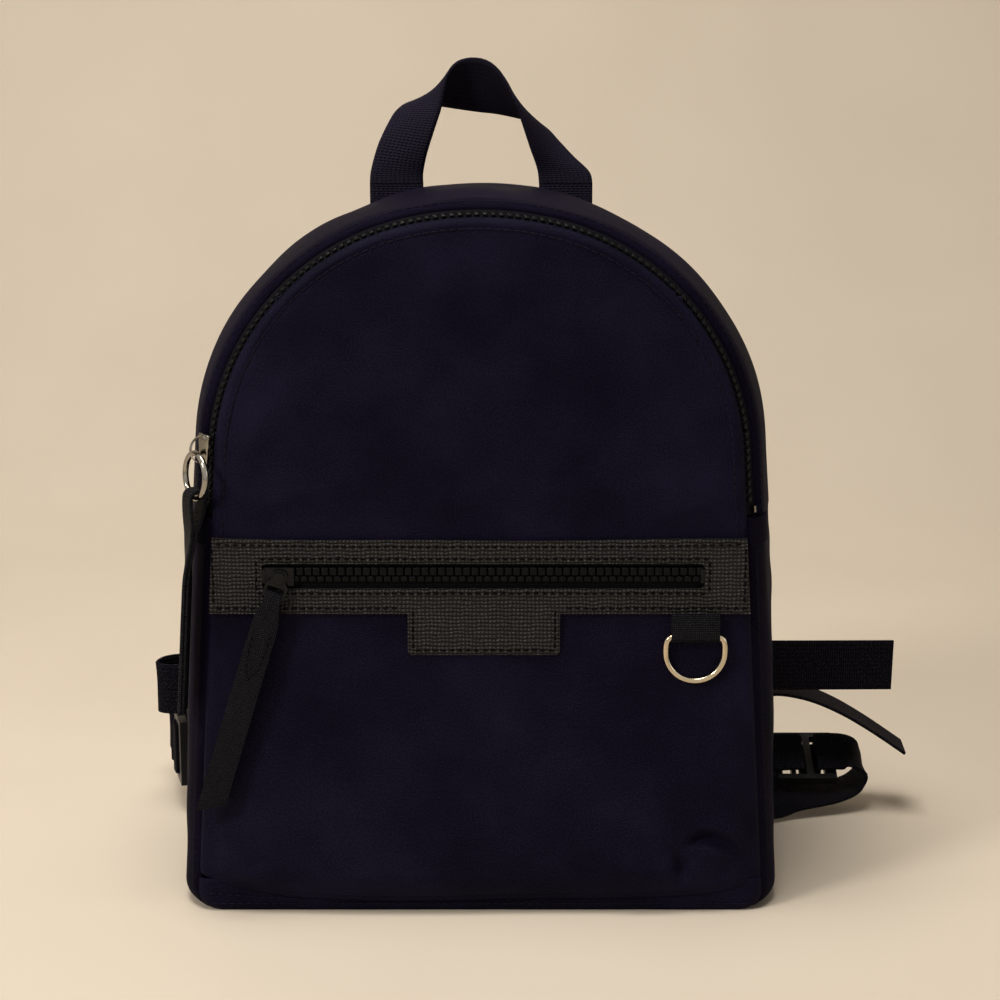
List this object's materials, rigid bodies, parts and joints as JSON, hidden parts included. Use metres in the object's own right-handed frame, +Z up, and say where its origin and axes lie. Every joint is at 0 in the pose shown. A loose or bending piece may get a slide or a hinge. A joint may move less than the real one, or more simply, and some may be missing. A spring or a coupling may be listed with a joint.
{
  "type": "backpack",
  "caption": "Small soft backpack with an arched zipped front, a front pocket, a top handle, a D ring and two padded shoulder straps.",
  "frame": {"origin": "middle of the base, on the surface it stands on", "axes": "+X to the right seen from the front, +Y towards the back that is worn against the wearer, +Z up"},
  "size_m": [0.3768, 0.1903, 0.3702],
  "materials": {
    "nylon": "coated twill nylon, slight sheen",
    "lining": "plain polyester lining",
    "leather": "fine cross grain, low sheen",
    "edge_cord": "zip tape, woven",
    "coil": "nylon coil with a metallic glint",
    "nickel": "polished nickel",
    "pale_gold": "polished pale gold",
    "black_metal": "black enamel",
    "webbing": "woven webbing with a ribbed edge",
    "foam": "closed cell foam",
    "board": "stiffening board",
    "acetal": "moulded, satin"
  },
  "bodies": {
    "bag": {"pocket_panel": "nylon", "zip_facing": "nylon", "pocket_lining": "lining", "leather_band": "leather", "hem_band": "nylon", "lower_gusset": "nylon", "top_gusset": "nylon", "main_lining": "lining", "base_board": "board", "back_panel": "nylon", "back_foam": "foam", "back_lining": "lining", "gusset_zip_tape": "edge_cord", "gusset_zip_teeth": "coil", "zip_end_tabs": "nylon", "main_zip_stops": "nickel", "pocket_zip_tapes": "edge_cord", "pocket_zip_teeth": "coil", "pocket_zip_stops": "black_metal", "d_ring_tab": "leather", "handle_tabs": "webbing", "strap_yoke": "nylon", "lower_strap_left": "webbing", "lower_anchor_left": "nylon", "lower_strap_right": "webbing", "lower_anchor_right": "nylon"},
    "flap": {"flap_panel": "nylon", "flap_lining": "lining", "flap_rim": "nylon", "flap_zip_tape": "edge_cord", "flap_zip_teeth": "coil"},
    "main_slider": {"main_slider": "nickel"},
    "main_pull_ring": {"main_pull_ring": "nickel"},
    "main_puller": {"main_puller": "leather"},
    "pocket_slider": {"pocket_slider": "black_metal"},
    "pocket_pull_link": {"pocket_pull_link": "black_metal"},
    "pocket_puller": {"pocket_puller": "leather"},
    "d_ring": {"d_ring": "pale_gold"},
    "handle": {"handle_strap": "webbing"},
    "shoulder_left": {"pad_left": "nylon", "pad_foam_left": "foam", "pad_webbing_left": "webbing"},
    "adjuster_left": {"ladder_lock_left": "acetal"},
    "shoulder_right": {"pad_right": "nylon", "pad_foam_right": "foam", "pad_webbing_right": "webbing"},
    "adjuster_right": {"ladder_lock_right": "acetal"}
  },
  "joints": [
    {"name": "flap_open", "type": "hinge", "parent": "bag", "child": "flap", "pos_m": [0, -0.0575, 0.179], "axis": [1, 0, 0], "range_deg": [0, 100]},
    {"name": "main_slider_slide", "type": "slide", "parent": "bag", "child": "main_slider", "axis": [0.0634, 0, 0.998], "range_m": [-0.006, 0.01]},
    {"name": "main_ring_swing", "type": "hinge", "parent": "main_slider", "child": "main_pull_ring", "pos_m": [-0.12106, -0.05573, 0.20755], "axis": [-0.5465, 0.8367, 0.0347], "range_deg": [0, 70]},
    {"name": "main_puller_swing", "type": "hinge", "parent": "main_pull_ring", "child": "main_puller", "pos_m": [-0.12229, -0.05573, 0.18818], "axis": [-0.5465, 0.8367, 0.0347], "range_deg": [0, 60]},
    {"name": "pocket_slider_slide", "type": "slide", "parent": "bag", "child": "pocket_slider", "axis": [1, 0, 0], "range_m": [0, 0.15]},
    {"name": "pocket_link_turn", "type": "hinge", "parent": "pocket_slider", "child": "pocket_pull_link", "pos_m": [-0.086, -0.06186, 0.15425], "axis": [0, -1, 0], "range_deg": [-8, 32]},
    {"name": "pocket_puller_swing", "type": "hinge", "parent": "pocket_pull_link", "child": "pocket_puller", "pos_m": [-0.08893, -0.06186, 0.14574], "axis": [0.9455, 0, -0.3256], "range_deg": [-60, 0]},
    {"name": "d_ring_swing", "type": "hinge", "parent": "bag", "child": "d_ring", "pos_m": [0.0935, -0.0602, 0.1275], "axis": [-1, 0, 0], "range_deg": [0, 100]},
    {"name": "handle_swing", "type": "hinge", "parent": "bag", "child": "handle", "pos_m": [0, 0.0582, 0.3138], "axis": [1, 0, 0], "range_deg": [-60, 60]},
    {"name": "shoulder_left_swing", "type": "hinge", "parent": "bag", "child": "shoulder_left", "pos_m": [-0.04, 0.0594, 0.271], "axis": [1, 0, 0], "range_deg": [0, 35], "deforming": ["lower_strap_left"]},
    {"name": "shoulder_right_swing", "type": "hinge", "parent": "bag", "child": "shoulder_right", "pos_m": [0.04, 0.0594, 0.271], "axis": [1, 0, 0], "range_deg": [0, 35], "deforming": ["lower_strap_right"]},
    {"name": "adjuster_left_turn", "type": "hinge", "parent": "shoulder_left", "child": "adjuster_left", "pos_m": [-0.15588, 0.09399, 0.031], "axis": [0, 0, 1], "range_deg": [-8, 8], "deforming": ["lower_strap_left"]},
    {"name": "adjuster_right_turn", "type": "hinge", "parent": "shoulder_right", "child": "adjuster_right", "pos_m": [0.1475, 0.0825, 0.023], "axis": [0, 0.9063, 0.4226], "range_deg": [-8, 8], "deforming": ["lower_strap_right"]}
  ]
}
